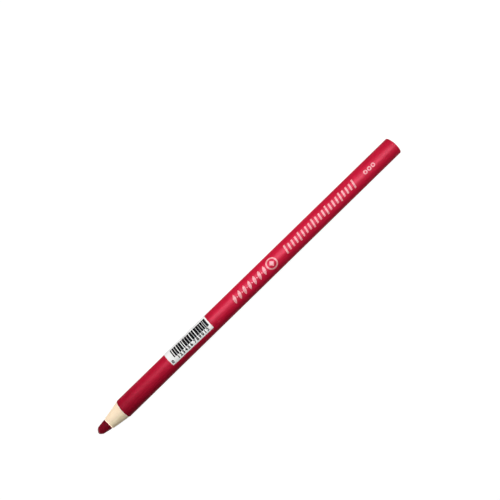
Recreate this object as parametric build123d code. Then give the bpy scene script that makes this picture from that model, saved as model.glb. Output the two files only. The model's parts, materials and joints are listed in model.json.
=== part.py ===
from build123d import *
import os
from math import acos, atan2, cos, degrees, hypot, radians, sin, tan

# A wood-cased china marker: a wax core glued between two grooved wood halves, sealed, lacquered,
# labelled and sharpened. The marker lies on its side. +X runs along the barrel to the writing tip and
# +Z is up. The origin is below the middle of the length, on the surface that the barrel lies on.
# A turn about the barrel is in degrees from straight up towards -Y, the front.

# Driving dimensions, in millimetres and degrees.
OVERALL_LENGTH = 175.0  # butt face to writing tip
BARREL_DIAMETER = 8.6  # over the lacquer
CORE_DIAMETER = 5.0  # the wax rod
CONE_HALF_ANGLE = 11.1  # sharpened casing, from the axis to its side
WAX_LENGTH = 6.4  # bare wax, from the casing's front edge to the writing tip
TIP_RADIUS = 1.8  # rounding of the blunt wax point

LACQUER_THICKNESS = 0.16
UNDERCOAT_THICKNESS = 0.06
GROOVE_GLUE_THICKNESS = 0.06  # film between the wax rod and its groove
SEAM_GLUE_THICKNESS = 0.06  # film between the two wood halves
SEAM_ANGLE = -7.0  # where the seam comes out of the barrel, near the top

LABEL_LENGTH = 22.9  # along the barrel
LABEL_WIDTH = 10.0  # around the barrel
LABEL_FACE_THICKNESS = 0.08
LABEL_ADHESIVE_THICKNESS = 0.03
LABEL_CLEARANCE = 0.02  # left between the lacquer and the adhesive
LABEL_FROM_TIP = 43.1  # writing tip to the label's nearer end
LABEL_ANGLE = 40.0  # middle of the label

# Radii of the layers, from the outside in.
BARREL_RADIUS = BARREL_DIAMETER / 2
UNDERCOAT_RADIUS = BARREL_RADIUS - LACQUER_THICKNESS
WOOD_RADIUS = UNDERCOAT_RADIUS - UNDERCOAT_THICKNESS
CORE_RADIUS = CORE_DIAMETER / 2
GROOVE_RADIUS = CORE_RADIUS + GROOVE_GLUE_THICKNESS

# Radii of the label's layers, from the barrel out.
SEAT_RADIUS = BARREL_RADIUS + LABEL_CLEARANCE
ADHESIVE_RADIUS = SEAT_RADIUS + LABEL_ADHESIVE_THICKNESS
LABEL_RADIUS = ADHESIVE_RADIUS + LABEL_FACE_THICKNESS

# Stations along the barrel.
BUTT_X = -OVERALL_LENGTH / 2
TIP_X = OVERALL_LENGTH / 2
WAX_EDGE_X = TIP_X - WAX_LENGTH
LABEL_NEAR_X = TIP_X - LABEL_FROM_TIP
LABEL_FAR_X = LABEL_NEAR_X - LABEL_LENGTH

# The rounded point is a ball. The bare wax tapers from the casing's edge to where it touches the ball.
BALL_X = TIP_X - TIP_RADIUS
BALL_REACH = BALL_X - WAX_EDGE_X
WAX_ANGLE = acos(TIP_RADIUS / hypot(BALL_REACH, CORE_RADIUS)) - atan2(BALL_REACH, CORE_RADIUS)

# Turns, in degrees.
FULL_TURN = 360.0
HALF_TURN = FULL_TURN / 2
QUARTER_TURN = FULL_TURN / 4


def cone_x(radius):
    """Station where the sharpened cone of the casing has this radius."""
    return WAX_EDGE_X - (radius - CORE_RADIUS) / tan(radians(CONE_HALF_ANGLE))


def turned(profile, arc=FULL_TURN, start=0.0):
    """The profile in the XZ plane spun about the barrel's axis, from a start turn through an arc."""
    return Rot(start, 0, 0) * revolve(profile, Axis.X, arc)


def profile_face(*edges):
    """A flat profile in the XZ plane, drawn as (station, radius)."""
    return Plane.XZ * make_face(Wire(list(edges)))


def sleeve(inner, outer, arc=FULL_TURN, start=0.0):
    """A layer of the barrel from the butt face to the sharpened cone."""
    outline = Polyline(
        (BUTT_X, inner), (BUTT_X, outer), (cone_x(outer), outer), (cone_x(inner), inner), close=True
    )
    return turned(profile_face(*outline.edges()), arc, start)


def seam_slab():
    """The flat space that the seam glue fills, wider and longer than the barrel."""
    slab = Box(2 * OVERALL_LENGTH, SEAM_GLUE_THICKNESS, 2 * BARREL_DIAMETER)
    return Rot(SEAM_ANGLE, 0, 0) * slab


def wax_core():
    """The wax rod, tapered beyond the casing and rounded to a blunt point."""
    touch_x = BALL_X + TIP_RADIUS * sin(WAX_ANGLE)
    touch_radius = TIP_RADIUS * cos(WAX_ANGLE)
    side = Polyline(
        (TIP_X, 0), (BUTT_X, 0), (BUTT_X, CORE_RADIUS), (WAX_EDGE_X, CORE_RADIUS), (touch_x, touch_radius)
    )
    touch_angle = QUARTER_TURN - degrees(WAX_ANGLE)
    point = CenterArc((BALL_X, 0), TIP_RADIUS, touch_angle, -touch_angle)
    return turned(profile_face(*side.edges(), point))


def wood_half(start):
    """One grooved half of the casing, without the glue line on its two flat sides."""
    return sleeve(GROOVE_RADIUS, WOOD_RADIUS, HALF_TURN, start) - seam_slab()


def groove_glue(start):
    """The glue film that bonds the core into one half's groove."""
    return sleeve(CORE_RADIUS, GROOVE_RADIUS, HALF_TURN, start)


def seam_glue(start):
    """The glue line on one side of the core, out of the half of the casing around it."""
    return sleeve(GROOVE_RADIUS, WOOD_RADIUS, HALF_TURN, start) & seam_slab()


def undercoat():
    """The pale sealer on the wood."""
    return sleeve(WOOD_RADIUS, UNDERCOAT_RADIUS)


def lacquer_coat():
    """The colour coat over the undercoat."""
    return sleeve(UNDERCOAT_RADIUS, BARREL_RADIUS)


def label_layer(inner, outer):
    """A layer of the label, curved round the barrel."""
    arc = degrees(LABEL_WIDTH / BARREL_RADIUS)
    outline = Polyline(
        (LABEL_FAR_X, inner), (LABEL_FAR_X, outer), (LABEL_NEAR_X, outer), (LABEL_NEAR_X, inner),
        close=True,
    )
    return turned(profile_face(*outline.edges()), arc, LABEL_ANGLE - arc / 2)


PIECES = {
    "wax_core": wax_core(),
    "front_wood_half": wood_half(SEAM_ANGLE),
    "rear_wood_half": wood_half(SEAM_ANGLE + HALF_TURN),
    "front_groove_glue": groove_glue(SEAM_ANGLE),
    "rear_groove_glue": groove_glue(SEAM_ANGLE + HALF_TURN),
    "top_seam_glue": seam_glue(SEAM_ANGLE - QUARTER_TURN),
    "bottom_seam_glue": seam_glue(SEAM_ANGLE + QUARTER_TURN),
    "undercoat": undercoat(),
    "lacquer_coat": lacquer_coat(),
    "label_adhesive": label_layer(SEAT_RADIUS, ADHESIVE_RADIUS),
    "label_face": label_layer(ADHESIVE_RADIUS, LABEL_RADIUS),
}

# The barrel rests on the ground plane.
os.makedirs("parts", exist_ok=True)
for name, piece in PIECES.items():
    export_step(Pos(0, 0, BARREL_RADIUS) * piece, f"parts/{name}.step")
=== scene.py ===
import json
import random
from math import acos, asin, atan2, cos, hypot, pi, radians, sin, tau

import bmesh
import bpy
from mathutils import Matrix, Vector
from mathutils.noise import noise


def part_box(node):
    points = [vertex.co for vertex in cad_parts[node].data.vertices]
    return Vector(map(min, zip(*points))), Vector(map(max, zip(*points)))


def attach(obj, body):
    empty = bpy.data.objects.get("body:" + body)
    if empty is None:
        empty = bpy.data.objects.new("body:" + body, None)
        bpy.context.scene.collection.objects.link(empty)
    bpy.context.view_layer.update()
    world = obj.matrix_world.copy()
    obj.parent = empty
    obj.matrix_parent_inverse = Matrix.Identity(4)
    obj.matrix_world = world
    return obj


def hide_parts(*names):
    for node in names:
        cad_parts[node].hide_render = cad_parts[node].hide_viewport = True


# A sharpened wood-cased wax marker, lying on its side. The frame's +X runs along the barrel to the writing
# tip and +Z is up. A turn about the barrel is in radians from straight up towards -Y, the front. A station
# is a place along X. Lengths are in metres.

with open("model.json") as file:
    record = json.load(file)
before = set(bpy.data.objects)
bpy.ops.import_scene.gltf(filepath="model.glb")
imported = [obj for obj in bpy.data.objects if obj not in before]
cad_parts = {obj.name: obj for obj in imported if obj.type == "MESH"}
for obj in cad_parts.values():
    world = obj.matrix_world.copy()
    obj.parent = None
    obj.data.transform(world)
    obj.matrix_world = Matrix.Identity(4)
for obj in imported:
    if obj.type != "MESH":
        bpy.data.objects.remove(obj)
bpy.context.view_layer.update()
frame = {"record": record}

MM = 0.001
BODY = "root"

# Sizes taken from the frame: the barrel, then the stations where the sharpening cuts each layer.
BARREL = frame["record"]["mounts"][0]
BARREL_RADIUS = BARREL["dims"]["r_mm"] * MM
AXIS_Z = BARREL["pos_m"][2]
LACQUER_LOW, LACQUER_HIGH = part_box("lacquer_coat")
UNDERCOAT_LOW, UNDERCOAT_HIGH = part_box("undercoat")
CASING_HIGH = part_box("front_wood_half")[1]
GLUE_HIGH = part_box("front_groove_glue")[1]
CORE_LOW, CORE_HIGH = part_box("wax_core")
LABEL_LOW, LABEL_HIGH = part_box("label_face")
BUTT_X = LACQUER_LOW.x
TIP_X = CORE_HIGH.x
WAX_EDGE_X = GLUE_HIGH.x
PAINT_EDGE_X = LACQUER_HIGH.x

# Radii of the layers. The cone is straight, so its slope and two of the radii follow from the stations.
UNDERCOAT_RADIUS = (UNDERCOAT_HIGH.z - UNDERCOAT_LOW.z) / 2
CORE_RADIUS = (CORE_HIGH.z - CORE_LOW.z) / 2
CONE_SLOPE = (UNDERCOAT_RADIUS - CORE_RADIUS) / (WAX_EDGE_X - PAINT_EDGE_X)
WOOD_RADIUS = UNDERCOAT_RADIUS - CONE_SLOPE * (UNDERCOAT_HIGH.x - PAINT_EDGE_X)
GROOVE_RADIUS = CORE_RADIUS + CONE_SLOPE * (WAX_EDGE_X - CASING_HIGH.x)
SEAM_TURN = radians(-7.0)
SEAM_GLUE = 0.06 * MM

# The label, its layers and its lie. It was stuck on a little askew.
LABEL_GUM = 0.05 * MM
LABEL_PAPER = 0.08 * MM
GUM_RADIUS = BARREL_RADIUS + LABEL_GUM
LABEL_RADIUS = GUM_RADIUS + LABEL_PAPER
LABEL_LOW_TURN = -asin(LABEL_HIGH.y / LABEL_RADIUS)
LABEL_HIGH_TURN = acos((LABEL_LOW.z - AXIS_Z) / LABEL_RADIUS)
LABEL_SLIP = radians(3.5)  # how far round the barrel it slipped
LABEL_TURN = (LABEL_LOW_TURN + LABEL_HIGH_TURN) / 2 + LABEL_SLIP
LABEL_WIDTH = (LABEL_HIGH_TURN - LABEL_LOW_TURN) * BARREL_RADIUS
LABEL_LENGTH = LABEL_HIGH.x - LABEL_LOW.x
LABEL_X = (LABEL_HIGH.x + LABEL_LOW.x) / 2
LABEL_SKEW = radians(-1.0)
LABEL_SLANT = 0.6 * MM  # its tip end was cut askew, longer at the front edge

# How the knife left the sharpened end.
EDGE_TILT = 0.22 * MM  # the paint edge lies further back on the front side
EDGE_WOBBLE = 0.07 * MM
EDGE_RIPPLES = 2.2  # how often the wobble changes round the edge
EDGE_PATCH = 4.0  # which patch of the noise the wobble is read from
EDGE_BACK = 0.04 * MM  # how much further up the barrel the knife went
EDGE_REACH = 4 * MM  # how far up the barrel the uneven edge draws the coats along
EDGE_STRETCH = 1 * MM  # the last stretch of barrel, which follows the edge in full
CONE_BULGE = 0.22 * MM  # how far the casing stands out just behind the wax
BULGE_END = 0.96  # share of the cone at which the bulge falls off to the wax
CONE_DRIFT = 0.21 * MM  # how far to the rear the cone runs off the barrel's middle
WAX_EDGE_SWAY = 0.42 * MM  # the wood reaches further along the wax at the front and the rear
WAX_EDGE_BACK = 0.2 * MM  # how far back the wood's thin rim broke off
WAX_EDGE_REACH = 3 * MM  # how far behind the wax the rim begins to sway
CHATTER = 0.006 * MM
CHATTER_PITCH = 0.30 * MM
CHATTER_CHANGE = 1.5  # how much the rings change round the cone
FIBRE_RELIEF = 0.010 * MM
FIBRE_WIDTH = 0.28 * MM
FIBRE_LENGTH = 2.5 * MM
MARKS_FADE = 0.08  # share of the cone at each end over which the blade marks fade out
ON_CONE = 0.01 * MM  # how near to the cone a point counts as lying on it

# How the saw left the butt.
BUTT_TILT = 0.38 * MM  # the saw left the front side this much shorter
BUTT_REACH = 5 * MM  # how far along the barrel the tilt is taken up
BUTT_GRAIN = 0.25 * MM
SAW_PITCH = 0.16 * MM
SAW_LENGTH = 3 * MM
SAW_SLANT = 0.4
SAW_PATCH = 3.0  # which patch of the noise the saw's strokes are read from
SAW_SHARE = 0.4  # the saw's share of the roughness, the rest being the grain's
WOOD_SAW_DEPTH = 0.03 * MM
WAX_SAW_DEPTH = 0.02 * MM

# Meshing.
AROUND = 160
CONE_RINGS = 72
BUTT_RINGS = 10
THIN_RINGS = 3  # across a coat or a film of glue
WAX_RINGS = 48
TIP_RINGS = 16
WELD = 0.0005 * MM
SHARP_ANGLE = radians(35)
INK_LIFT = 0.006 * MM  # how far print stands off the surface that carries it
SLICE = 0.25 * MM  # print is cut this finely before it is bent round the barrel
LEAF_POINTS = 28
DOT_POINTS = 20
RING_POINTS = 40


# Mesh helpers

def cone_x(radius):
    """Station where the sharpened cone has this radius."""
    return PAINT_EDGE_X + (UNDERCOAT_RADIUS - radius) / CONE_SLOPE


def stations(start, end, count):
    """Evenly spaced values from a start to an end, both included."""
    return [start + (end - start) * step / count for step in range(count + 1)]


def spun(profile, closed=True):
    """A profile of (station, radius) points spun a full turn about the barrel's axis."""
    bm = bmesh.new()
    points = [bm.verts.new((x, 0, AXIS_Z + radius)) for x, radius in profile]
    followers = points[1:] + points[:1] if closed else points[1:]
    lines = [bm.edges.new(pair) for pair in zip(points, followers)]
    bmesh.ops.spin(
        bm, geom=points + lines, cent=(0, 0, AXIS_Z), axis=(1, 0, 0),
        angle=tau, steps=AROUND, use_merge=True,
    )
    bmesh.ops.remove_doubles(bm, verts=bm.verts, dist=WELD)
    bmesh.ops.recalc_face_normals(bm, faces=bm.faces)
    return bm


def around(point):
    """(turn, radius) of a point about the barrel's axis."""
    return atan2(-point.y, point.z - AXIS_Z), hypot(point.y, point.z - AXIS_Z)


def on_barrel(x, turn, radius):
    """The point at a station, a turn and a radius."""
    return Vector((x, -sin(turn) * radius, AXIS_Z + cos(turn) * radius))


def clamp(value):
    """The value kept between 0 and 1."""
    return max(0.0, min(1.0, value))


def ease(start, end, value):
    """0 before start, 1 after end, and smooth between them."""
    share = clamp((value - start) / (end - start))
    return share * share * (3 - 2 * share)


def paint_edge_shift(turn):
    """How far the cut edge of the paint lies from its even ring, along the barrel."""
    ripple = noise(Vector((EDGE_RIPPLES * cos(turn), EDGE_RIPPLES * sin(turn), EDGE_PATCH)))
    return EDGE_WOBBLE * ripple - EDGE_TILT * sin(turn) - EDGE_BACK


def cone_drift(x):
    """How far the cone and the wax lie off the barrel's middle at a station."""
    return CONE_DRIFT * ease(PAINT_EDGE_X - EDGE_STRETCH, WAX_EDGE_X, x)


def cone_relief(x, turn, radius):
    """How far the cone stands out where the blade bowed, chattered and lifted the fibres."""
    share = clamp((x - PAINT_EDGE_X) / (WAX_EDGE_X - PAINT_EDGE_X))
    bow = CONE_BULGE * share * ease(1.0, BULGE_END, share)
    ring = Vector((x / CHATTER_PITCH, CHATTER_CHANGE * cos(turn), CHATTER_CHANGE * sin(turn)))
    across = radius / FIBRE_WIDTH
    fibre = Vector((x / FIBRE_LENGTH, across * cos(turn), across * sin(turn)))
    marks = CHATTER * noise(ring) + FIBRE_RELIEF * noise(fibre)
    return bow + marks * ease(0.0, MARKS_FADE, share) * ease(1.0, 1.0 - MARKS_FADE, share)


def sharpen(bm):
    """Gives a layer's sharpened end its uneven edges, its bulge and its blade marks."""
    for vert in bm.verts:
        turn, radius = around(vert.co)
        x = vert.co.x
        fade = ease(PAINT_EDGE_X - EDGE_REACH, PAINT_EDGE_X - EDGE_STRETCH, x)
        shift = paint_edge_shift(turn) * fade * ease(WAX_EDGE_X, PAINT_EDGE_X, x)
        on_cone = abs(x - cone_x(radius)) < ON_CONE and radius < UNDERCOAT_RADIUS
        lift = cone_relief(x, turn, radius) if on_cone else 0.0
        rim = WAX_EDGE_SWAY * sin(turn) ** 2 - WAX_EDGE_BACK
        sway = rim * ease(WAX_EDGE_X - WAX_EDGE_REACH, WAX_EDGE_X, x)
        vert.co = on_barrel(x + shift + sway, turn, radius + lift - sway * CONE_SLOPE)
        vert.co.y += cone_drift(x)


def saw_butt(bm, depth):
    """Gives a layer's sawn end its tilt and a little of the saw's and the grain's unevenness."""
    for vert in bm.verts:
        if vert.co.x < BUTT_X + WELD:
            grain = noise(Vector((0.0, vert.co.y / BUTT_GRAIN, vert.co.z / BUTT_GRAIN)))
            stroke = (vert.co.y + SAW_SLANT * vert.co.z) / SAW_PITCH
            saw = noise(Vector((SAW_PATCH, stroke, vert.co.z / SAW_LENGTH)))
            vert.co.x += depth * ((1.0 - SAW_SHARE) * grain + SAW_SHARE * saw)
        shortened = BUTT_TILT * (BARREL_RADIUS - vert.co.y) / (2 * BARREL_RADIUS)
        vert.co.x += shortened * ease(BUTT_X + BUTT_REACH, BUTT_X, vert.co.x)


def cut_half(bm, turn, offset):
    """Keeps what lies beyond a plane through the barrel, offset from its axis, and closes the cut."""
    away = on_barrel(0, turn + pi / 2, 1.0) - on_barrel(0, 0, 0.0)
    cut = bmesh.ops.bisect_plane(
        bm, geom=bm.verts[:] + bm.edges[:] + bm.faces[:], dist=WELD,
        plane_co=Vector((0, 0, AXIS_Z)) + away * offset, plane_no=away, clear_inner=True,
    )
    lines = [item for item in cut["geom_cut"] if isinstance(item, bmesh.types.BMEdge)]
    bmesh.ops.holes_fill(bm, edges=lines, sides=0)
    bmesh.ops.recalc_face_normals(bm, faces=bm.faces)


def layer(inner, outer, cone_rings, butt_rings=2):
    """A closed ring of one layer, from the butt face to the sharpened cone."""
    butt = [(BUTT_X, radius) for radius in stations(inner, outer, butt_rings)]
    cone = [(cone_x(radius), radius) for radius in stations(outer, inner, cone_rings)]
    return spun(butt + cone)


def add_piece(name, bm, material, slot, *nodes):
    """A mesh piece that rides on the marker and stands for these CAD nodes."""
    for face in bm.faces:
        face.smooth = True
    mesh = bpy.data.meshes.new(name)
    bm.to_mesh(mesh)
    bm.free()
    mesh.set_sharp_from_angle(angle=SHARP_ANGLE)
    mesh.materials.append(material)
    piece = bpy.data.objects.new(name, mesh)
    bpy.context.scene.collection.objects.link(piece)
    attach(piece, BODY)
    if nodes:
        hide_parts(*nodes)
    return piece


# Node helpers

def screen_colour(red, green, blue):
    """A colour given in screen values of 0 to 255, as the linear values that a shader takes."""
    linear = []
    for value in (red / 255, green / 255, blue / 255):
        linear.append(value / 12.92 if value <= 0.04045 else ((value + 0.055) / 1.055) ** 2.4)
    return (*linear, 1.0)


def feed(tree, socket, value):
    """Links a socket to another, or sets its value."""
    if isinstance(value, bpy.types.NodeSocket):
        tree.links.new(value, socket)
    else:
        socket.default_value = value


def add_node(tree, kind, inputs, **settings):
    """A node with its settings, and with its named inputs linked or set."""
    node = tree.nodes.new(kind)
    for name, value in settings.items():
        setattr(node, name, value)
    for name, value in inputs.items():
        feed(tree, node.inputs[name], value)
    return node


def scaled_place(tree, place, scale):
    """Object coordinates stretched by a scale on each axis."""
    node = add_node(tree, "ShaderNodeMapping", {"Vector": place, "Scale": scale})
    return node.outputs["Vector"]


def noise_value(tree, place, scale, detail=3.0, roughness=0.55):
    """Noise from 0 to 1, with a scale in grains to the metre."""
    inputs = {"Vector": place, "Scale": scale, "Detail": detail, "Roughness": roughness}
    return add_node(tree, "ShaderNodeTexNoise", inputs).outputs["Fac"]


def remapped(tree, value, low, high, to_low=0.0, to_high=1.0):
    """A value stretched from one span to another and kept within it."""
    inputs = {"Value": value, "From Min": low, "From Max": high, "To Min": to_low, "To Max": to_high}
    return add_node(tree, "ShaderNodeMapRange", inputs).outputs["Result"]


def combined(tree, operation, first, second):
    """Two values put together by a math operation."""
    node = tree.nodes.new("ShaderNodeMath")
    node.operation = operation
    feed(tree, node.inputs[0], first)
    feed(tree, node.inputs[1], second)
    return node.outputs["Value"]


def blended(tree, first, share, second):
    """Two patterns added up, the first with a share and the second with the rest."""
    kept = combined(tree, "MULTIPLY", first, share)
    return combined(tree, "ADD", kept, combined(tree, "MULTIPLY", second, 1.0 - share))


def shaded(tree, factor, *stops):
    """A colour that goes through these (place, colour) stops as the factor goes from 0 to 1."""
    ramp = add_node(tree, "ShaderNodeValToRGB", {"Fac": factor})
    elements = ramp.color_ramp.elements
    for element, (place, colour) in zip(elements, (stops[0], stops[-1])):
        element.position = place
        element.color = colour
    for place, colour in stops[1:-1]:
        elements.new(place).color = colour
    return ramp.outputs["Color"]


def covered(tree, mask, under, over):
    """One colour over another, where a mask is 1."""
    node = add_node(tree, "ShaderNodeMixRGB", {"Fac": mask, "Color1": under, "Color2": over})
    return node.outputs["Color"]


def bumped(tree, shader, height, depth, strength=0.6):
    """Gives a shader a bump of a depth in metres."""
    inputs = {"Height": height, "Distance": depth, "Strength": strength}
    tree.links.new(add_node(tree, "ShaderNodeBump", inputs).outputs["Normal"], shader.inputs["Normal"])


def new_material(name):
    """A material with its node tree, its shader and the object coordinates that its patterns follow."""
    material = bpy.data.materials.new(name)
    material.use_nodes = True
    tree = material.node_tree
    place = add_node(tree, "ShaderNodeTexCoord", {}).outputs["Object"]
    return material, tree, tree.nodes["Principled BSDF"], place


def new_group(name, inputs, output):
    """An empty node group with a Vector input, these (name, value) inputs and one output."""
    group = bpy.data.node_groups.new(name, "ShaderNodeTree")
    group.interface.new_socket("Vector", in_out="INPUT", socket_type="NodeSocketVector")
    for label, value in inputs:
        socket = group.interface.new_socket(label, in_out="INPUT", socket_type="NodeSocketFloat")
        socket.default_value = value
    group.interface.new_socket(output, in_out="OUTPUT", socket_type="NodeSocketFloat")
    return group, group.nodes.new("NodeGroupInput").outputs, group.nodes.new("NodeGroupOutput").inputs


def placed(tree, group, place, **values):
    """A group's output, with the group placed in a material and given its own values."""
    node = tree.nodes.new("ShaderNodeGroup")
    node.node_tree = group
    feed(tree, node.inputs["Vector"], place)
    for label, value in values.items():
        feed(tree, node.inputs[label], value)
    return node.outputs[0]


# Effects that several materials share

def lengthwise_grain():
    """Streaks that run along the barrel, as wood fibres do."""
    group, given, made = new_group("lengthwise_grain", [("Fineness", 4000.0), ("Contrast", 0.3)], "Streaks")
    drawn_out = scaled_place(group, given["Vector"], (0.035, 1.0, 1.0))
    streaks = noise_value(group, drawn_out, given["Fineness"], detail=5.0, roughness=0.62)
    low = combined(group, "SUBTRACT", 0.5, given["Contrast"])
    high = combined(group, "ADD", 0.5, given["Contrast"])
    group.links.new(remapped(group, streaks, low, high), made["Streaks"])
    return group


def fine_mottle():
    """Soft, even blotches."""
    group, given, made = new_group("fine_mottle", [("Grains", 1500.0)], "Mottle")
    blotches = noise_value(group, given["Vector"], given["Grains"], detail=4.0)
    group.links.new(remapped(group, blotches, 0.3, 0.7), made["Mottle"])
    return group


def handling_wear():
    """Small patches rubbed by hands and by other markers in a cup."""
    group, given, made = new_group("handling_wear", [("Patches", 300.0), ("Amount", 0.4)], "Wear")
    patches = noise_value(group, given["Vector"], given["Patches"], detail=2.0)
    scratched = scaled_place(group, given["Vector"], (0.25, 1.0, 1.0))
    scratches = noise_value(group, scratched, 5200.0, detail=3.0)
    both = blended(group, patches, 0.6, scratches)
    start = combined(group, "SUBTRACT", 0.85, combined(group, "MULTIPLY", given["Amount"], 0.5))
    end = combined(group, "ADD", start, 0.08)
    group.links.new(remapped(group, both, start, end), made["Wear"])
    return group


def cut_edge_rub_and_shade():
    """A ragged line along a cut edge of the barrel, at a station on its axis and a tilt across it. It marks
    both the rubbed butt rim and the painted shade along the lacquer's cut edge.
    """
    given_values = [("Station", BUTT_X), ("Tilt", 0.0), ("Reach", 0.3 * MM), ("Raggedness", 0.5)]
    group, given, made = new_group("cut_edge_rub_and_shade", given_values, "Rub")
    place = add_node(group, "ShaderNodeSeparateXYZ", {"Vector": given["Vector"]}).outputs
    tilted = combined(group, "ADD", place["X"], combined(group, "MULTIPLY", given["Tilt"], place["Y"]))
    away = combined(group, "ABSOLUTE", combined(group, "SUBTRACT", tilted, given["Station"]), 0.0)
    ragged = remapped(group, noise_value(group, given["Vector"], 2600.0, detail=3.0), 0.45, 0.75)
    loss = combined(group, "MULTIPLY", given["Raggedness"], combined(group, "SUBTRACT", 1.0, ragged))
    limit = combined(group, "MULTIPLY", given["Reach"], combined(group, "SUBTRACT", 1.0, loss))
    shortfall = combined(group, "SUBTRACT", limit, away)
    group.links.new(remapped(group, shortfall, 0.0, 0.06 * MM), made["Rub"])
    return group


GRAIN = lengthwise_grain()
MOTTLE = fine_mottle()
WEAR = handling_wear()
RUB_AND_EDGE_SHADE = cut_edge_rub_and_shade()


# Materials

# Colours of the finishes and of the painted shade, in screen values.
LACQUER_DEEP = screen_colour(186, 15, 46)
LACQUER_BRIGHT = screen_colour(203, 25, 59)
# painted shade, darkening the lacquer towards the cut
LACQUER_PAINTED_SHADE = screen_colour(110, 6, 26)
LACQUER_SCUFFED = screen_colour(214, 96, 112)
# painted shade along the lacquer's cut edge
LACQUER_EDGE_SHADE = screen_colour(132, 6, 26)
LACQUER_RUBBED = screen_colour(214, 150, 146)
FRONT_WOOD_PALE = screen_colour(253, 233, 202)
FRONT_WOOD_MIDDLE = screen_colour(251, 228, 196)
FRONT_WOOD_DARK = screen_colour(240, 209, 174)
REAR_WOOD_PALE = screen_colour(253, 238, 204)
REAR_WOOD_MIDDLE = screen_colour(250, 231, 194)
REAR_WOOD_DARK = screen_colour(238, 214, 176)
WOOD_STAINED = screen_colour(238, 176, 160)
WAX_DEEP = screen_colour(98, 5, 20)
WAX_BRIGHT = screen_colour(134, 8, 31)
# painted shade on the wax's tip
WAX_PAINTED_SHADE = screen_colour(46, 2, 10)
WAX_CRUMBS = screen_colour(178, 60, 80)
GLUE_DARK = screen_colour(232, 206, 178)
GLUE_PALE = screen_colour(248, 226, 202)
SEALER_DARK = screen_colour(250, 224, 208)
SEALER_PALE = screen_colour(255, 240, 228)
PAPER_DARK = screen_colour(252, 251, 249)
PAPER_PALE = screen_colour(255, 255, 254)
PAPER_GRIMY = screen_colour(196, 188, 180)
GUM_DARK = screen_colour(206, 190, 172)
GUM_PALE = screen_colour(226, 212, 196)
INK_DARK = screen_colour(8, 8, 9)
INK_PALE = screen_colour(24, 23, 24)
INK_THIN = screen_colour(150, 150, 150)
FOIL_DARK = screen_colour(210, 132, 136)
FOIL_PALE = screen_colour(238, 174, 176)
FOIL_WORN = screen_colour(176, 46, 66)

# How far the painted shade, the stains and the rubbed places reach.
LACQUER_SHADE_REACH = 16 * MM  # painted shade darkens the lacquer over this stretch behind the cut
# painted shade along the lacquer's cut edge reaches this far
EDGE_SHADE_REACH = 0.45 * MM
BUTT_RUB_REACH = 0.12 * MM
WOOD_STAIN_REACH = 1.1 * MM
WAX_SHADE_START = 1.5 * MM  # both are distances behind the tip, over which painted shade darkens the wax
WAX_SHADE_FULL = 0.6 * MM


def crimson_lacquer():
    """Satin lacquer, streaky like the wood below it and scuffed, darkened towards the cut and along the cut
    edge by painted shade, and rubbed pale at the butt rim.
    """
    material, tree, shader, place = new_material("crimson_lacquer")
    streaks = placed(tree, GRAIN, place, Fineness=1500.0, Contrast=0.25)
    mottle = placed(tree, MOTTLE, place, Grains=420.0)
    tone = blended(tree, streaks, 0.6, mottle)
    body = shaded(tree, tone, (0.1, LACQUER_DEEP), (0.9, LACQUER_BRIGHT))
    # Painted shade: the lacquer is darkened towards the cut, standing in for the light falling off towards
    # the tip.
    along = add_node(tree, "ShaderNodeSeparateXYZ", {"Vector": place}).outputs["X"]
    shade_towards_cut = remapped(tree, along, PAINT_EDGE_X - LACQUER_SHADE_REACH, PAINT_EDGE_X, to_high=0.27)
    with_painted_shade = covered(tree, shade_towards_cut, body, LACQUER_PAINTED_SHADE)
    scuffs = placed(tree, WEAR, place, Patches=260.0, Amount=0.42)
    scuffed = covered(tree, combined(tree, "MULTIPLY", scuffs, 0.35), with_painted_shade, LACQUER_SCUFFED)
    # Painted shade: a darker band along the lacquer's cut edge at the sharpened end.
    edge_shade = placed(
        tree, RUB_AND_EDGE_SHADE, place, Station=PAINT_EDGE_X - EDGE_BACK, Tilt=-EDGE_TILT / BARREL_RADIUS,
        Reach=EDGE_SHADE_REACH, Raggedness=0.3)
    edge_shaded = covered(tree, edge_shade, scuffed, LACQUER_EDGE_SHADE)
    rub = placed(
        tree, RUB_AND_EDGE_SHADE, place, Station=BUTT_X + BUTT_TILT / 2, Tilt=BUTT_TILT / (2 * BARREL_RADIUS),
        Reach=BUTT_RUB_REACH, Raggedness=1.0)
    feed(tree, shader.inputs["Base Color"], covered(tree, rub, edge_shaded, LACQUER_RUBBED))
    feed(tree, shader.inputs["Roughness"], remapped(tree, tone, 0.0, 1.0, 0.40, 0.47))
    shader.inputs["Specular IOR Level"].default_value = 0.03
    shader.inputs["Metallic"].default_value = 0.008
    peel = placed(tree, MOTTLE, place, Grains=2400.0)
    bumped(tree, shader, blended(tree, peel, 0.5, streaks), depth=0.006 * MM)
    return material


def slat_wood(name, shift, pale, middle, dark):
    """Pale casing wood, with fibres along the barrel and a wax-stained rim next to the core."""
    material, tree, shader, place = new_material(name)
    moved = add_node(tree, "ShaderNodeMapping", {"Vector": place, "Location": shift}).outputs["Vector"]
    fibres = placed(tree, GRAIN, moved, Fineness=5200.0, Contrast=0.28)
    growth = placed(tree, GRAIN, moved, Fineness=900.0, Contrast=0.22)
    tone = blended(tree, fibres, 0.45, growth)
    wood = shaded(tree, tone, (0.05, dark), (0.45, middle), (0.85, pale))
    along = add_node(tree, "ShaderNodeSeparateXYZ", {"Vector": place}).outputs["X"]
    near_wax = remapped(tree, along, WAX_EDGE_X - WOOD_STAIN_REACH, WAX_EDGE_X)
    smear = combined(tree, "MULTIPLY", near_wax, placed(tree, MOTTLE, moved, Grains=2300.0))
    stained = covered(tree, combined(tree, "MULTIPLY", smear, 0.35), wood, WOOD_STAINED)
    feed(tree, shader.inputs["Base Color"], stained)
    feed(tree, shader.inputs["Roughness"], remapped(tree, fibres, 0.0, 1.0, 0.78, 0.6))
    shader.inputs["Specular IOR Level"].default_value = 0.07
    bumped(tree, shader, fibres, depth=0.02 * MM)
    return material


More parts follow.
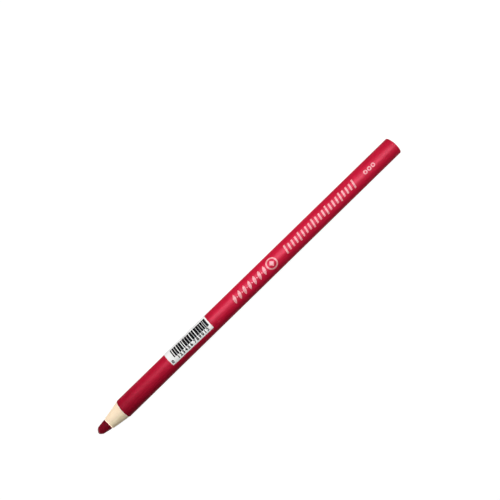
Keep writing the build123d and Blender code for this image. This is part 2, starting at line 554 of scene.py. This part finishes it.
def crimson_wax():
    """Dark crimson wax, scraped round and round by the blade, with paler crumbs and painted shade darkening
    its tip.
    """
    material, tree, shader, place = new_material("crimson_wax")
    scrapes = noise_value(tree, scaled_place(tree, place, (6.0, 1.0, 1.0)), 700.0, detail=4.0)
    mottle = placed(tree, MOTTLE, place, Grains=900.0)
    tone = blended(tree, scrapes, 0.6, mottle)
    body = shaded(tree, tone, (0.2, WAX_DEEP), (0.8, WAX_BRIGHT))
    # Painted shade: the wax is darkened towards its tip, reaching further back at the front and the rear.
    spot = add_node(tree, "ShaderNodeSeparateXYZ", {"Vector": place}).outputs
    aside = combined(tree, "ABSOLUTE", spot["Y"], 0.0)
    shade_place = combined(tree, "ADD", spot["X"], combined(tree, "MULTIPLY", aside, 0.5))
    tip_shade = remapped(tree, shade_place, TIP_X - WAX_SHADE_START, TIP_X - WAX_SHADE_FULL, to_high=0.9)
    with_painted_shade = covered(tree, tip_shade, body, WAX_PAINTED_SHADE)
    crumbs = placed(tree, WEAR, place, Patches=1500.0, Amount=0.45)
    crumbly = covered(tree, combined(tree, "MULTIPLY", crumbs, 0.4), with_painted_shade, WAX_CRUMBS)
    feed(tree, shader.inputs["Base Color"], crumbly)
    feed(tree, shader.inputs["Roughness"], remapped(tree, tone, 0.2, 0.8, 0.56, 0.42))
    shader.inputs["Specular IOR Level"].default_value = 0.04
    bumped(tree, shader, tone, depth=0.03 * MM)
    return material


def casein_glue():
    """Dried pale amber glue."""
    material, tree, shader, place = new_material("casein_glue")
    mottle = placed(tree, MOTTLE, place, Grains=3000.0)
    feed(tree, shader.inputs["Base Color"], shaded(tree, mottle, (0.0, GLUE_DARK), (1.0, GLUE_PALE)))
    feed(tree, shader.inputs["Roughness"], remapped(tree, mottle, 0.0, 1.0, 0.45, 0.6))
    shader.inputs["Specular IOR Level"].default_value = 0.1
    bumped(tree, shader, mottle, depth=0.01 * MM)
    return material


def pale_sealer():
    """The chalky sealer under the lacquer."""
    material, tree, shader, place = new_material("pale_sealer")
    mottle = placed(tree, MOTTLE, place, Grains=2600.0)
    feed(tree, shader.inputs["Base Color"], shaded(tree, mottle, (0.0, SEALER_DARK), (1.0, SEALER_PALE)))
    feed(tree, shader.inputs["Roughness"], remapped(tree, mottle, 0.0, 1.0, 0.6, 0.75))
    shader.inputs["Specular IOR Level"].default_value = 0.06
    bumped(tree, shader, mottle, depth=0.01 * MM)
    return material


def coated_paper():
    """White label paper with faint fibres and a thin coating."""
    material, tree, shader, place = new_material("coated_paper")
    mottle = placed(tree, MOTTLE, place, Grains=1400.0)
    fibres = placed(tree, GRAIN, place, Fineness=2800.0, Contrast=0.3)
    tone = blended(tree, mottle, 0.5, fibres)
    white = shaded(tree, tone, (0.0, PAPER_DARK), (1.0, PAPER_PALE))
    grime = placed(tree, WEAR, place, Patches=420.0, Amount=0.4)
    handled = covered(tree, combined(tree, "MULTIPLY", grime, 0.12), white, PAPER_GRIMY)
    feed(tree, shader.inputs["Base Color"], handled)
    feed(tree, shader.inputs["Roughness"], remapped(tree, tone, 0.0, 1.0, 0.5, 0.62))
    shader.inputs["Specular IOR Level"].default_value = 0.03
    bumped(tree, shader, tone, depth=0.004 * MM)
    return material


def label_gum_film():
    """The clear, faintly yellow gum under the label."""
    material, tree, shader, place = new_material("label_gum_film")
    mottle = placed(tree, MOTTLE, place, Grains=2000.0)
    feed(tree, shader.inputs["Base Color"], shaded(tree, mottle, (0.0, GUM_DARK), (1.0, GUM_PALE)))
    feed(tree, shader.inputs["Roughness"], remapped(tree, mottle, 0.0, 1.0, 0.3, 0.42))
    shader.inputs["Specular IOR Level"].default_value = 0.1
    bumped(tree, shader, mottle, depth=0.004 * MM)
    return material


def printing_ink():
    """Black thermal print, a little uneven."""
    material, tree, shader, place = new_material("printing_ink")
    mottle = placed(tree, MOTTLE, place, Grains=2600.0)
    black = shaded(tree, mottle, (0.0, INK_DARK), (1.0, INK_PALE))
    gaps = placed(tree, WEAR, place, Patches=900.0, Amount=0.4)
    patchy = covered(tree, combined(tree, "MULTIPLY", gaps, 0.3), black, INK_THIN)
    feed(tree, shader.inputs["Base Color"], patchy)
    feed(tree, shader.inputs["Roughness"], remapped(tree, mottle, 0.0, 1.0, 0.5, 0.62))
    shader.inputs["Specular IOR Level"].default_value = 0.015
    bumped(tree, shader, mottle, depth=0.003 * MM)
    return material


def stamped_foil():
    """Hot-stamped pale foil, thin and worn so that the lacquer shows through in places."""
    material, tree, shader, place = new_material("stamped_foil")
    mottle = placed(tree, MOTTLE, place, Grains=1700.0)
    bright = shaded(tree, mottle, (0.1, FOIL_DARK), (0.9, FOIL_PALE))
    worn = placed(tree, WEAR, place, Patches=700.0, Amount=0.55)
    thinned = covered(tree, combined(tree, "MULTIPLY", worn, 0.7), bright, FOIL_WORN)
    feed(tree, shader.inputs["Base Color"], thinned)
    feed(tree, shader.inputs["Metallic"], remapped(tree, worn, 0.0, 1.0, 0.008, 0.0))
    feed(tree, shader.inputs["Roughness"], remapped(tree, mottle, 0.0, 1.0, 0.36, 0.48))
    shader.inputs["Specular IOR Level"].default_value = 0.03
    bumped(tree, shader, mottle, depth=0.003 * MM)
    return material


# The wax rod

# Flats worn on the writing tip: where each lies on the tip and which way it faces.
TIP_FLATS = [
    (Vector((-0.57, -0.37, 0.0)), Vector((0.76, -0.65, 0.42))),
    (Vector((-0.40, 0.59, 0.0)), Vector((0.71, 0.70, 0.42))),
    (Vector((-0.70, 1.85, 0.0)), Vector((0.16, 0.99, 0.42))),
    (Vector((-0.40, 0.0, 0.05)), Vector((0.86, 0.0, 0.51))),
    (Vector((-0.30, 0.0, -0.6)), Vector((0.88, 0.1, -0.46))),
]
TIP_SPARE = 0.6 * MM  # length beyond the tip that the flats take off
TIP_SOFTNESS = 0.07 * MM
WAX_TAPER = 0.176  # slope of the bare wax
WAX_SWELL = 0.12 * MM  # how far the wax stands out once it is free of the casing
SWELL_START = 0.3 * MM  # both are distances beyond the casing
SWELL_FULL = 1.3 * MM
WAX_LEAN = 0.052  # slope at which the wax runs off to the front


def scrape_tip(bm):
    """Presses the flats into the end of the wax, with soft edges between them."""
    for vert in bm.verts:
        for place, facing in TIP_FLATS:
            outward = facing.normalized()
            seat = Vector((TIP_X, 0, AXIS_Z)) + place * MM
            excess = (vert.co - seat).dot(outward) + TIP_SOFTNESS
            if excess > 0:
                vert.co -= outward * excess * excess / (excess + TIP_SOFTNESS)


def wax_radius(x):
    """Radius of the bare wax at a station."""
    free = x - WAX_EDGE_X
    return CORE_RADIUS + WAX_SWELL * ease(SWELL_START, SWELL_FULL, free) - WAX_TAPER * free


def wax_rod():
    """The wax rod, with its sawn butt end and its blunt, flattened writing tip."""
    end_x = TIP_X + TIP_SPARE
    butt = [(BUTT_X, radius) for radius in stations(0.0, CORE_RADIUS, BUTT_RINGS)]
    side = [(x, wax_radius(x)) for x in stations(WAX_EDGE_X, end_x, WAX_RINGS)]
    end = [(end_x, radius) for radius in stations(wax_radius(end_x), 0.0, TIP_RINGS)]
    bm = spun(butt + side + end[1:], closed=False)
    saw_butt(bm, WAX_SAW_DEPTH)
    for vert in bm.verts:
        vert.co.y += cone_drift(vert.co.x) - WAX_LEAN * max(0.0, vert.co.x - WAX_EDGE_X)
    scrape_tip(bm)
    add_piece("wax_rod", bm, crimson_wax(), "wax", "wax_core")


# The casing and its glue

def casing():
    """The two wood halves."""
    front_wood = slat_wood(
        "front_slat_wood", (0.0, 0.0, 0.0),
        FRONT_WOOD_PALE, FRONT_WOOD_MIDDLE, FRONT_WOOD_DARK)
    rear_wood = slat_wood(
        "rear_slat_wood", (0.3, 0.02, 0.01),
        REAR_WOOD_PALE, REAR_WOOD_MIDDLE, REAR_WOOD_DARK)
    halves = (("front", front_wood, SEAM_TURN), ("rear", rear_wood, SEAM_TURN + pi))
    for side, wood, turn in halves:
        bm = layer(GROOVE_RADIUS, WOOD_RADIUS, CONE_RINGS, BUTT_RINGS)
        sharpen(bm)
        saw_butt(bm, WOOD_SAW_DEPTH)
        cut_half(bm, turn, SEAM_GLUE / 2)
        add_piece(f"{side}_casing", bm, wood, "casing_wood", f"{side}_wood_half")


def glue_lines():
    """The glue in the seams and the grooves."""
    glue = casein_glue()
    for place, turn in (("top", SEAM_TURN - pi / 2), ("bottom", SEAM_TURN + pi / 2)):
        bm = layer(GROOVE_RADIUS, WOOD_RADIUS, CONE_RINGS)
        sharpen(bm)
        saw_butt(bm, depth=0.0)
        cut_half(bm, turn, 0.0)
        cut_half(bm, turn + pi / 2, -SEAM_GLUE / 2)
        cut_half(bm, turn - pi / 2, -SEAM_GLUE / 2)
        add_piece(f"{place}_seam_line", bm, glue, "glue", f"{place}_seam_glue")
    for side, turn in (("front", SEAM_TURN), ("rear", SEAM_TURN + pi)):
        bm = layer(CORE_RADIUS, GROOVE_RADIUS, THIN_RINGS)
        sharpen(bm)
        saw_butt(bm, depth=0.0)
        cut_half(bm, turn, 0.0)
        add_piece(f"{side}_groove_line", bm, glue, "glue", f"{side}_groove_glue")


# The coats

RIM_ROUNDING = 0.09 * MM
LIP_ROUNDING = 0.16 * MM  # the blade broke the lacquer off in a round lip
BARREL_STEPS = 40
FINE_REACH = 5 * MM  # the stretch behind the cut that is meshed more finely
FINE_STEPS = 20
ROUNDING_STEPS = 5


def sealer():
    """The sealer coat, which shows as a line at the cut ends."""
    bm = layer(WOOD_RADIUS, UNDERCOAT_RADIUS, THIN_RINGS)
    sharpen(bm)
    saw_butt(bm, depth=0.0)
    add_piece("sealer_line", bm, pale_sealer(), "undercoat", "undercoat")


def lacquer():
    """The lacquer, with a rounded butt rim and a round lip at the cut."""
    rim = [
        (BUTT_X + RIM_ROUNDING * (1 - sin(turn)), BARREL_RADIUS - RIM_ROUNDING * (1 - cos(turn)))
        for turn in stations(pi / 2, 0.0, ROUNDING_STEPS)
    ]
    near_edge = PAINT_EDGE_X - FINE_REACH
    barrel = [(x, BARREL_RADIUS) for x in stations(rim[-1][0], near_edge, BARREL_STEPS)]
    front = [(x, BARREL_RADIUS) for x in stations(near_edge, PAINT_EDGE_X - LIP_ROUNDING, FINE_STEPS)]
    thickness = BARREL_RADIUS - UNDERCOAT_RADIUS
    cut = [
        (PAINT_EDGE_X - LIP_ROUNDING * (1 - sin(turn)), UNDERCOAT_RADIUS + thickness * cos(turn))
        for turn in stations(0.0, pi / 2, ROUNDING_STEPS)
    ]
    bm = spun([(BUTT_X, UNDERCOAT_RADIUS)] + rim + barrel[1:] + front[1:] + cut[1:])
    sharpen(bm)
    saw_butt(bm, depth=0.0)
    add_piece("lacquer_skin", bm, crimson_lacquer(), "lacquer", "lacquer_coat")


# Flat shapes that are bent round the barrel. They are drawn with x along the barrel towards the butt and y
# round it towards the front.

def sliced(bm):
    """Cuts a flat shape across into narrow strips, so that it can bend."""
    reach = max(abs(vert.co.y) for vert in bm.verts)
    steps = int(reach / SLICE) + 1
    for step in range(-steps, steps + 1):
        bmesh.ops.bisect_plane(
            bm, geom=bm.verts[:] + bm.edges[:] + bm.faces[:], dist=WELD,
            plane_co=(0, step * SLICE, 0), plane_no=(0, 1, 0),
        )


def bent_round(bm, radius, x, turn):
    """Bends a flat shape round the barrel, with its own origin at a station and a turn."""
    for vert in bm.verts:
        vert.co = on_barrel(x - vert.co.x, turn + vert.co.y / radius, radius + vert.co.z)
    bmesh.ops.recalc_face_normals(bm, faces=bm.faces)


def flat_bar(bm, x, y, width, height, slant=0.0):
    """Adds an upright bar with its middle at a place, leaning by a slant."""
    made = bmesh.ops.create_grid(bm, x_segments=1, y_segments=1, size=0.5)["verts"]
    for vert in made:
        vert.co = Vector((x + vert.co.x * width + vert.co.y * height * slant, y + vert.co.y * height, 0))
    return made


def flat_lozenge(bm, x, y, width, height):
    """Adds a lozenge with its middle at a place."""
    made = bmesh.ops.create_circle(bm, cap_ends=True, segments=4, radius=0.5)["verts"]
    for vert in made:
        vert.co = Vector((x + vert.co.x * width, y + vert.co.y * height, 0))


def flat_leaf(bm, x, y, width, height, slant):
    """Adds a slanted leaf, pointed at both ends, with its middle at a place."""
    made = bmesh.ops.create_circle(bm, cap_ends=True, segments=LEAF_POINTS, radius=1.0)["verts"]
    for vert in made:
        side = vert.co.x * abs(vert.co.x) * width / 2
        rise = vert.co.y * height / 2
        vert.co = Vector((x + side + rise * slant, y + rise, 0))


def flat_dot(bm, x, y, width):
    """Adds a round dot with its middle at a place."""
    matrix = Matrix.Translation((x, y, 0))
    bmesh.ops.create_circle(bm, cap_ends=True, segments=DOT_POINTS, radius=width / 2, matrix=matrix)


def flat_ring(bm, x, y, width, line):
    """Adds a ring of a line width with its middle at a place."""
    matrix = Matrix.Translation((x, y, 0))
    rims = []
    for radius in (width / 2, width / 2 - line):
        rim = bmesh.ops.create_circle(
            bm, cap_ends=False, segments=RING_POINTS, radius=radius, matrix=matrix)
        rims += {edge for vert in rim["verts"] for edge in vert.link_edges}
    bmesh.ops.bridge_loops(bm, edges=rims)


def thickened(bm, thickness):
    """Gives a flat shape a thickness, upwards from where it lies."""
    raised = bmesh.ops.extrude_face_region(bm, geom=bm.faces[:], use_keep_orig=True)["geom"]
    points = [item for item in raised if isinstance(item, bmesh.types.BMVert)]
    bmesh.ops.translate(bm, verts=points, vec=(0, 0, thickness))


def add_print(name, bm, radius, x, turn, skew, material, slot):
    """A printed shape: sliced, set askew, given the thickness of its ink and bent round the barrel."""
    sliced(bm)
    bmesh.ops.rotate(bm, verts=bm.verts, matrix=Matrix.Rotation(skew, 3, "Z"))
    thickened(bm, INK_LIFT)
    bent_round(bm, radius, x, turn)
    add_piece(name, bm, material, slot)


# The label

LABEL_COLUMNS = 60
LABEL_ROWS = 40
GUM_INSET = 0.04 * MM  # how far the gum stays back from the paper's edges


def label_sheet(name, radius, thickness, inset, material, slot, node):
    """One layer of the label, bent round the barrel, a little askew."""
    bm = bmesh.new()
    bmesh.ops.create_grid(bm, x_segments=LABEL_COLUMNS, y_segments=LABEL_ROWS, size=0.5)
    for vert in bm.verts:
        slant = LABEL_SLANT * (0.5 + vert.co.y) * (0.5 - vert.co.x)
        vert.co.x = vert.co.x * (LABEL_LENGTH - 2 * inset) - slant
        vert.co.y *= LABEL_WIDTH - 2 * inset
    bmesh.ops.rotate(bm, verts=bm.verts, matrix=Matrix.Rotation(LABEL_SKEW, 3, "Z"))
    thickened(bm, thickness)
    bent_round(bm, radius, LABEL_X, LABEL_TURN)
    add_piece(name, bm, material, slot, node)


BARS_FROM_END = 2.55 * MM  # label's tip end to the first bar
BARS_LENGTH = 19.7 * MM
BARS_HEIGHT = 4.15 * MM
BAR_MODULE = 0.18 * MM
BAR_MODULES = (3, 5, 6)  # widths that a bar may have
GAP_MODULES = (1, 2)
INK_SPREAD = 0.03 * MM  # how much wider the ink makes a bar
BARS_TURN = radians(32.3)
BARS_SEED = 66
FIGURE_TURN = radians(-6.5)
FIGURE_HEIGHT = 1.36 * MM
FIGURE_PITCH = 1.45 * MM
FIGURE_BOLDNESS = 0.073  # as a share of the height
CAP_HEIGHT = 0.73  # height of the built-in font's figures, as a share of its size
FIGURE_GROUPS = ((0.9 * MM, "0"), (4.05 * MM, "123456"), (13.3 * MM, "789012"))  # from the label's tip end


def label_bars(ink):
    """A row of black bars of made-up widths, which stand for no number."""
    draw = random.Random(BARS_SEED)
    bm = bmesh.new()
    start = BARS_FROM_END - LABEL_LENGTH / 2
    at = 0.0
    while at < BARS_LENGTH:
        width = min(draw.choice(BAR_MODULES) * BAR_MODULE, BARS_LENGTH - at)
        flat_bar(bm, start + at + width / 2, 0.0, width + INK_SPREAD, BARS_HEIGHT)
        at += width + draw.choice(GAP_MODULES) * BAR_MODULE
    add_print("label_bars", bm, LABEL_RADIUS, LABEL_X, BARS_TURN, LABEL_SKEW, ink, "label_paper")


def add_figure(bm, figure, x):
    """Adds a figure drawn in the built-in font, with its middle at a place along the label.

    It is drawn at a height of 1 and then scaled, because very small outlines don't fill cleanly.
    """
    text = bpy.data.curves.new("figure", "FONT")
    text.body = figure
    text.size = 1.0 / CAP_HEIGHT
    text.align_x = "CENTER"
    text.align_y = "CENTER"
    text.offset = FIGURE_BOLDNESS
    text.resolution_u = 4
    shape = bpy.data.objects.new("figure", text)
    mesh = bpy.data.meshes.new_from_object(shape)
    mesh.transform(Matrix.Translation((x, 0, 0)) @ Matrix.Scale(FIGURE_HEIGHT, 4))
    bm.from_mesh(mesh)
    bpy.data.objects.remove(shape)
    bpy.data.meshes.remove(mesh)
    bpy.data.curves.remove(text)


def label_figures(ink):
    """Counting figures under the bars, as on a blank sample label."""
    bm = bmesh.new()
    for start, figures in FIGURE_GROUPS:
        for place, figure in enumerate(figures):
            add_figure(bm, figure, start - LABEL_LENGTH / 2 + place * FIGURE_PITCH)
    add_print("label_figures", bm, LABEL_RADIUS, LABEL_X, FIGURE_TURN, LABEL_SKEW, ink, "label_paper")


def label():
    """The label: gum, paper and print."""
    gum = label_gum_film()
    label_sheet("label_gum", BARREL_RADIUS, LABEL_GUM, GUM_INSET, gum, "adhesive", "label_adhesive")
    paper = coated_paper()
    label_sheet("label_paper", GUM_RADIUS, LABEL_PAPER, 0.0, paper, "label_paper", "label_face")
    ink = printing_ink()
    label_bars(ink)
    label_figures(ink)


# The stamped ornament along the barrel

FOIL_TURN = radians(5.6)
LEAVES = 7
LEAVES_FROM_TIP = 78.9 * MM
LEAVES_LENGTH = 20.1 * MM
LEAF_WIDTH = 1.5 * MM
LEAF_HEIGHT = 4.0 * MM
LEAF_SLANT = 0.3
DOT_WIDTH = 0.5 * MM
RING_FROM_TIP = 101.85 * MM  # to its middle
RING_WIDTH = 5.4 * MM
RING_LINE = 0.65 * MM
LOZENGE_WIDTH = 2.4 * MM
LOZENGE_HEIGHT = 2.8 * MM
STROKES = 21
STROKES_FROM_TIP = 109.3 * MM
STROKES_LENGTH = 41.8 * MM
STROKE_WIDTH = 0.8 * MM
STROKE_HEIGHT = 3.0 * MM
TALL_STROKE_HEIGHT = 4.0 * MM
STROKE_SLANT = 0.2
LOOPS = 3
LOOPS_FROM_TIP = 156.1 * MM
LOOPS_LENGTH = 6.7 * MM
LOOP_WIDTH = 1.9 * MM
LOOP_LINE = 0.5 * MM


def foil_leaves(foil):
    """A row of slanted leaves with dots between them."""
    bm = bmesh.new()
    pitch = LEAVES_LENGTH / LEAVES
    for leaf in range(LEAVES):
        flat_leaf(bm, (leaf + 0.5) * pitch, 0.0, LEAF_WIDTH, LEAF_HEIGHT, LEAF_SLANT)
        if leaf:
            flat_dot(bm, leaf * pitch, 0.0, DOT_WIDTH)
    add_print("foil_leaves", bm, BARREL_RADIUS, TIP_X - LEAVES_FROM_TIP, FOIL_TURN, 0.0, foil, "lacquer")


def foil_ring(foil):
    """A ring with a lozenge in it."""
    bm = bmesh.new()
    flat_ring(bm, 0.0, 0.0, RING_WIDTH, RING_LINE)
    flat_lozenge(bm, 0.0, 0.0, LOZENGE_WIDTH, LOZENGE_HEIGHT)
    add_print("foil_ring", bm, BARREL_RADIUS, TIP_X - RING_FROM_TIP, FOIL_TURN, 0.0, foil, "lacquer")


def foil_strokes(foil):
    """A band of slanted strokes, every fourth one taller."""
    bm = bmesh.new()
    pitch = STROKES_LENGTH / STROKES
    for stroke in range(STROKES):
        height = STROKE_HEIGHT if stroke % 4 else TALL_STROKE_HEIGHT
        flat_bar(bm, (stroke + 0.5) * pitch, 0.0, STROKE_WIDTH, height, slant=STROKE_SLANT)
    add_print("foil_strokes", bm, BARREL_RADIUS, TIP_X - STROKES_FROM_TIP, FOIL_TURN, 0.0, foil, "lacquer")


def foil_loops(foil):
    """A few small loops that end the band."""
    bm = bmesh.new()
    for loop in range(LOOPS):
        flat_ring(bm, (loop + 0.5) * LOOPS_LENGTH / LOOPS, 0.0, LOOP_WIDTH, LOOP_LINE)
    add_print("foil_loops", bm, BARREL_RADIUS, TIP_X - LOOPS_FROM_TIP, FOIL_TURN, 0.0, foil, "lacquer")


# The stage

FLOOR_GREY = (0.10, 0.10, 0.10, 1.0)  # what the floor throws back on the marker
FLOOR_GREY_PALE = (0.13, 0.13, 0.13, 1.0)
FLOOR_SHADOW = (0.2, 0.2, 0.2, 1.0)  # how much of its shading shows
FLOOR_GLOW = 0.96
FLOOR_SWEEP = [(2.6, 0.0), (2.8, 0.03), (2.93, 0.11), (2.99, 0.24), (3.0, 0.4), (3.0, 0.7)]  # reach, height
FLOOR_STEPS = 64
STUDIO_LEVEL = 0.025
CARD_TINT = (0.93, 1.0, 1.25)  # a cool white
WHITE = (1.0, 1.0, 1.0, 1.0)


def white_floor():
    """A white floor that keeps the marker's shadow and throws only a little light back."""
    material = bpy.data.materials.new("white_floor")
    material.use_nodes = True
    tree = material.node_tree
    tree.nodes.clear()
    rays = tree.nodes.new("ShaderNodeLightPath").outputs
    seen = combined(tree, "MAXIMUM", rays["Is Camera Ray"], combined(
        tree, "MAXIMUM", rays["Is Glossy Ray"], rays["Is Transmission Ray"]))
    place = add_node(tree, "ShaderNodeTexCoord", {}).outputs["Object"]
    cloud = noise_value(tree, place, 3.0)
    grey = shaded(tree, cloud, (0.3, FLOOR_GREY), (0.7, FLOOR_GREY_PALE))
    bounce = add_node(tree, "ShaderNodeBsdfDiffuse", {"Color": grey}).outputs["BSDF"]
    shadowed = add_node(tree, "ShaderNodeBsdfDiffuse", {"Color": FLOOR_SHADOW})
    glow = add_node(tree, "ShaderNodeEmission", {"Color": WHITE, "Strength": FLOOR_GLOW})
    white = tree.nodes.new("ShaderNodeAddShader")
    tree.links.new(shadowed.outputs["BSDF"], white.inputs[0])
    tree.links.new(glow.outputs["Emission"], white.inputs[1])
    choice = tree.nodes.new("ShaderNodeMixShader")
    tree.links.new(seen, choice.inputs[0])
    tree.links.new(bounce, choice.inputs[1])
    tree.links.new(white.outputs["Shader"], choice.inputs[2])
    output = tree.nodes.new("ShaderNodeOutputMaterial")
    tree.links.new(choice.outputs["Shader"], output.inputs["Surface"])
    return material


def floor():
    """The floor that the marker lies on, which sweeps up all round into a low backdrop."""
    bm = bmesh.new()
    points = [bm.verts.new((reach, 0, height)) for reach, height in [(0.0, 0.0)] + FLOOR_SWEEP]
    lines = [bm.edges.new(pair) for pair in zip(points, points[1:])]
    bmesh.ops.spin(
        bm, geom=points + lines, cent=(0, 0, 0), axis=(0, 0, 1),
        angle=tau, steps=FLOOR_STEPS, use_merge=True,
    )
    bmesh.ops.remove_doubles(bm, verts=bm.verts, dist=WELD)
    bmesh.ops.recalc_face_normals(bm, faces=bm.faces)
    mesh = bpy.data.meshes.new("floor")
    bm.to_mesh(mesh)
    bm.free()
    mesh.materials.append(white_floor())
    plane = bpy.data.objects.new("floor", mesh)
    bpy.context.scene.collection.objects.link(plane)


def surroundings():
    """A dim, even studio round the marker."""
    world = bpy.data.worlds.new("studio")
    bpy.context.scene.world = world
    world.use_nodes = True
    background = world.node_tree.nodes["Background"].inputs
    background["Color"].default_value = WHITE
    background["Strength"].default_value = STUDIO_LEVEL


def softbox(name, place, aim, long_way, length, width, power):
    """A soft rectangular lamp that looks at a point, with its length laid along a direction."""
    lamp = bpy.data.lights.new(name, "AREA")
    lamp.shape = "RECTANGLE"
    lamp.size = length
    lamp.size_y = width
    lamp.energy = power
    holder = bpy.data.objects.new(name, lamp)
    back = (Vector(place) - Vector(aim)).normalized()
    along = (Vector(long_way) - back * back.dot(Vector(long_way))).normalized()
    facing = Matrix((along, back.cross(along), back)).transposed().to_4x4()
    holder.matrix_world = Matrix.Translation(place) @ facing
    bpy.context.scene.collection.objects.link(holder)
    return holder


def lamps():
    """A lamp over the butt end, a card that only the gloss shows, a fill and a low lamp beyond each end."""
    strip = softbox(
        "top_strip", place=(-0.079, -0.027, 0.12), aim=(-0.047, 0, 0), long_way=(0.17, -0.98, 0),
        length=0.20, width=0.10, power=0.15)
    card = softbox(
        "gloss_card", place=(-0.055, -0.052, 0.18), aim=(-0.04, 0, 0), long_way=(0.8, -0.6, 0),
        length=0.27, width=0.11, power=4.3)
    fill = softbox(
        "front_fill", place=(0.012, -0.06, 0.09), aim=(0, 0, 0), long_way=(1, 0, 0),
        length=0.10, width=0.06, power=0.062)
    tip_lamp = softbox(
        "tip_lamp", place=(0.60, -0.042, 0.032), aim=(0.08, 0, 0), long_way=(0, 1, 0),
        length=0.12, width=0.08, power=6.9)
    butt_lamp = softbox(
        "butt_lamp", place=(-0.60, 0.01, 0.017), aim=(-0.08, 0, 0.004), long_way=(0, 1, 0),
        length=0.05, width=0.03, power=2.2)
    for lamp in (strip, card, fill, tip_lamp, butt_lamp):
        lamp.visible_camera = False
    for lamp in (strip, fill, tip_lamp, butt_lamp):
        lamp.visible_glossy = False
    card.visible_diffuse = False
    card.data.color = CARD_TINT


CAMERA_TARGET = Vector((-0.01193, -0.01077, AXIS_Z))
CAMERA_DISTANCE = 0.28
CAMERA_LEAN = radians(2.3)
CAMERA_NEAREST = 0.01
PIXELS_PER_METRE = 2351.0
IMAGE_PIXELS = 500
SENSOR = 36.0
BARREL_IN_PICTURE = radians(44.18)  # how far the butt end points up from level, to the right


def camera():
    """The camera nearly straight above the marker, leaning a little towards its tip."""
    back = Vector((sin(CAMERA_LEAN), 0, cos(CAMERA_LEAN)))
    along = (Vector((1, 0, 0)) - back * back.x).normalized()
    across = back.cross(along)
    right = -along * cos(BARREL_IN_PICTURE) + across * sin(BARREL_IN_PICTURE)
    up = back.cross(right)
    settings = bpy.data.cameras.new("camera")
    settings.sensor_width = SENSOR
    settings.lens = SENSOR * PIXELS_PER_METRE * CAMERA_DISTANCE / IMAGE_PIXELS
    settings.clip_start = CAMERA_NEAREST
    holder = bpy.data.objects.new("camera", settings)
    facing = Matrix((right, up, back)).transposed().to_4x4()
    holder.matrix_world = Matrix.Translation(CAMERA_TARGET + back * CAMERA_DISTANCE) @ facing
    bpy.context.scene.collection.objects.link(holder)
    bpy.context.scene.camera = holder


wax_rod()
casing()
glue_lines()
sealer()
lacquer()
label()
foil = stamped_foil()
foil_leaves(foil)
foil_ring(foil)
foil_strokes(foil)
foil_loops(foil)

floor()
surroundings()
lamps()
camera()
bpy.context.scene.view_settings.view_transform = "Standard"
